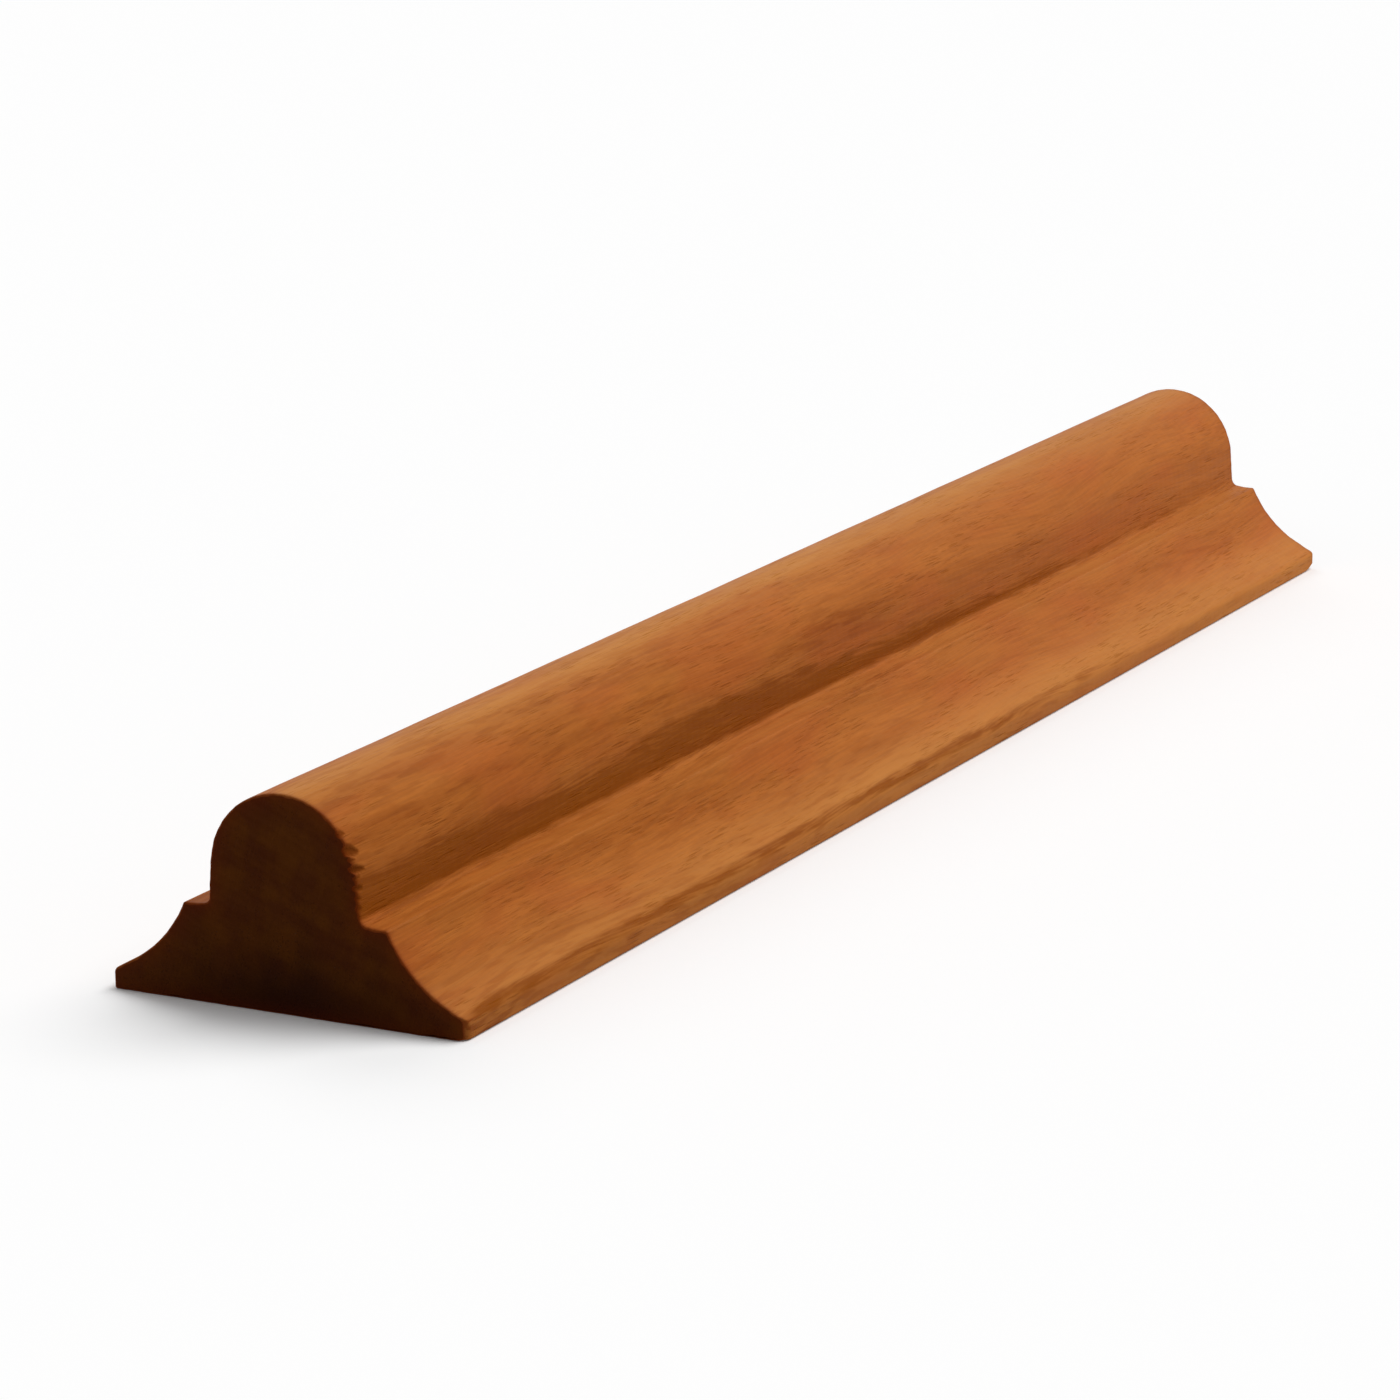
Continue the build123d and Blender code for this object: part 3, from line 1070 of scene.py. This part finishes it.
def add_lamp(name, kind, strength, way_to_lamp):
    """A lamp that shines back along the way that leads to it."""
    data = bpy.data.lights.new(name, kind)
    data.energy = strength
    lamp = add_object(name, data)
    lamp.rotation_euler = Vector(way_to_lamp).to_track_quat("Z", "Y").to_euler()
    return lamp


def add_sun(name, strength, way_to_lamp, softness):
    """A lamp so far away that it lights the whole floor alike."""
    add_lamp(name, "SUN", strength, way_to_lamp).data.angle = math.radians(softness)


def add_panel(name, power, floor):
    """A small lamp close to the far end, which lights the upright faces there and not the floor."""
    lamp = add_lamp(name, "AREA", power, Vector(PANEL_PLACE) - Vector(PANEL_AIM))
    lamp.data.size = PANEL_SIZE
    lamp.location = PANEL_PLACE
    lamp.visible_camera = False
    lamp.visible_glossy = False
    left_alone = bpy.data.collections.new("left_alone_by_panel")
    left_alone.objects.link(floor)
    left_alone.collection_objects[0].light_linking.link_state = "EXCLUDE"
    lamp.light_linking.receiver_collection = left_alone


def add_camera(stage):
    """The camera, rolled, tipped up from straight down to its drop, and turned to its heading."""
    data = bpy.data.cameras.new("camera")
    data.lens = stage.lens
    data.clip_start = NEAREST_SEEN
    camera = add_object("camera", data)
    quarter_turn = math.pi / 2
    rolled = Matrix.Rotation(stage.camera_roll, 4, "Z")
    tipped = Matrix.Rotation(quarter_turn - stage.camera_drop, 4, "X")
    turned = Matrix.Rotation(stage.camera_heading - quarter_turn, 4, "Z")
    camera.matrix_world = Matrix.Translation(stage.camera_place) @ turned @ tipped @ rolled
    bpy.context.scene.camera = camera


def add_floor(stage):
    """The round flat floor just under the bar's back."""
    turn = np.linspace(0.0, 2 * math.pi, FLOOR_SIDES, endpoint=False)
    under = np.full(FLOOR_SIDES, -FLOOR_GAP)
    rim = np.stack([stage.floor_radius * np.cos(turn), stage.floor_radius * np.sin(turn), under], axis=1)
    mesh = bpy.data.meshes.new("floor")
    mesh.from_pydata(rim, [], [list(range(FLOOR_SIDES))])
    mesh.materials.append(floor_material(stage))
    floor = add_object("floor", mesh)
    return floor


# Operators and panel

SAME_HEIGHT = 0.1 * MM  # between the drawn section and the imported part, whose bead is cut by its facets


class MOULDING_OT_make_bar(bpy.types.Operator):
    """Make the finished hardwood bar in place of the plain packed one"""

    bl_idname = "moulding.make_bar"
    bl_label = "Make the bar"

    def execute(self, context):
        scene = context.scene
        crown_height = section_corners(scene.moulding_section, bar_high.y)["crown"][1]
        if abs(crown_height - bar_high.z) > SAME_HEIGHT:
            raise ValueError(f"the section is {crown_height} m high, and the packed bar {bar_high.z} m")
        mesh = bar_mesh(scene.moulding_section, scene.moulding_wear)
        figure_group = timber_figure_group()
        pores_group = pore_group()
        mesh.materials.append(planed_material(scene.moulding_timber, figure_group, pores_group))
        mesh.materials.append(sawn_material(scene.moulding_timber, figure_group, pores_group))
        bar = add_object("astragal_bar", mesh)
        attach(bar, BAR_BODY)
        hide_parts(BAR_NODE)
        return {"FINISHED"}


class MOULDING_OT_make_stage(bpy.types.Operator):
    """Make the pale floor, the lamps, the room and the camera"""

    bl_idname = "moulding.make_stage"
    bl_label = "Make the stage"

    def execute(self, context):
        scene = context.scene
        stage = scene.moulding_stage
        scene.view_settings.view_transform = "Standard"
        scene.world = make_world(stage)
        floor = add_floor(stage)
        add_sun("key_lamp", stage.key, KEY_FROM, KEY_SOFTNESS)
        add_sun("rim_lamp", stage.rim, RIM_FROM, RIM_SOFTNESS)
        add_panel("side_lamp", stage.side, floor)
        add_camera(stage)
        return {"FINISHED"}


class MOULDING_PT_sidebar(bpy.types.Panel):
    """The moulding's sizes, colours and buttons in the 3D view's sidebar"""

    bl_label = "Astragal moulding"
    bl_space_type = "VIEW_3D"
    bl_region_type = "UI"
    bl_category = "Moulding"

    def draw(self, context):
        scene = context.scene
        for operator in OPERATORS:
            self.layout.operator(operator.bl_idname)
        for slot_name in SETTINGS:
            settings = getattr(scene, slot_name)
            box = self.layout.box()
            box.label(text=slot_name.replace("_", " "))
            for setting in settings.bl_rna.properties:
                if setting.identifier not in ("rna_type", "name"):
                    box.prop(settings, setting.identifier)


SETTINGS = {
    "moulding_section": SectionSizes,
    "moulding_wear": EndWear,
    "moulding_timber": TimberColours,
    "moulding_stage": StageSettings,
}
OPERATORS = (MOULDING_OT_make_bar, MOULDING_OT_make_stage)
CLASSES = (*SETTINGS.values(), *OPERATORS, MOULDING_PT_sidebar)


def register():
    """Register the classes and give the scene its settings."""
    for each in CLASSES:
        bpy.utils.register_class(each)
    for name, group in SETTINGS.items():
        setattr(bpy.types.Scene, name, PointerProperty(type=group))


def unregister():
    """Undo what register did, in the opposite order."""
    for name in SETTINGS:
        delattr(bpy.types.Scene, name)
    for each in reversed(CLASSES):
        bpy.utils.unregister_class(each)


def main():
    """Make the bar and the stage."""
    register()
    bpy.ops.moulding.make_bar()
    bpy.ops.moulding.make_stage()


if __name__ == "__main__":
    main()
